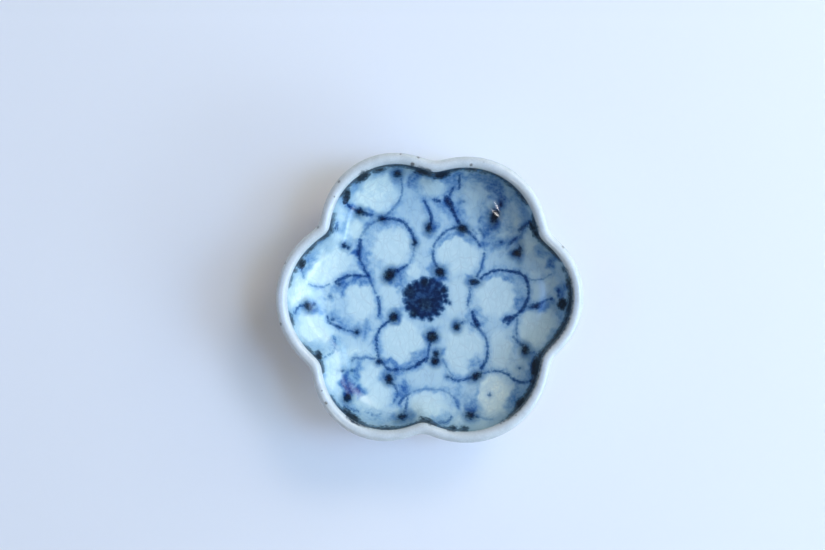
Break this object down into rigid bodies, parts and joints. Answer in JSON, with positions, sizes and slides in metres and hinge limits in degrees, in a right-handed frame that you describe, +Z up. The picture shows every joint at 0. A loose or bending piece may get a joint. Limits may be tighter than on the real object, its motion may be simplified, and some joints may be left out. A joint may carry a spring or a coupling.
{
  "type": "lobed dish",
  "caption": "Small shallow porcelain dish with a lobed flower outline, a round foot ring and an underglaze-blue scroll pattern in the well.",
  "frame": {"origin": "on the surface that the dish stands on, under the middle of the foot ring", "axes": "+Z up; +X from the middle towards the right-hand petal of the picture, +Y towards its top edge"},
  "size_m": [0.0966, 0.091, 0.023],
  "materials": {
    "porcelain": "matt, under the glaze",
    "bare_porcelain": "matt, smoothed with a stone",
    "painted_glaze": "gloss, crazed, painted blue under the glaze",
    "white_glaze": "satin gloss, with sparse iron specks"
  },
  "bodies": {
    "root": {"dish_body": "porcelain", "foot_ring": "bare_porcelain", "inner_glaze": "painted_glaze", "outer_glaze": "white_glaze", "foot_well_glaze": "white_glaze"}
  },
  "joints": []
}
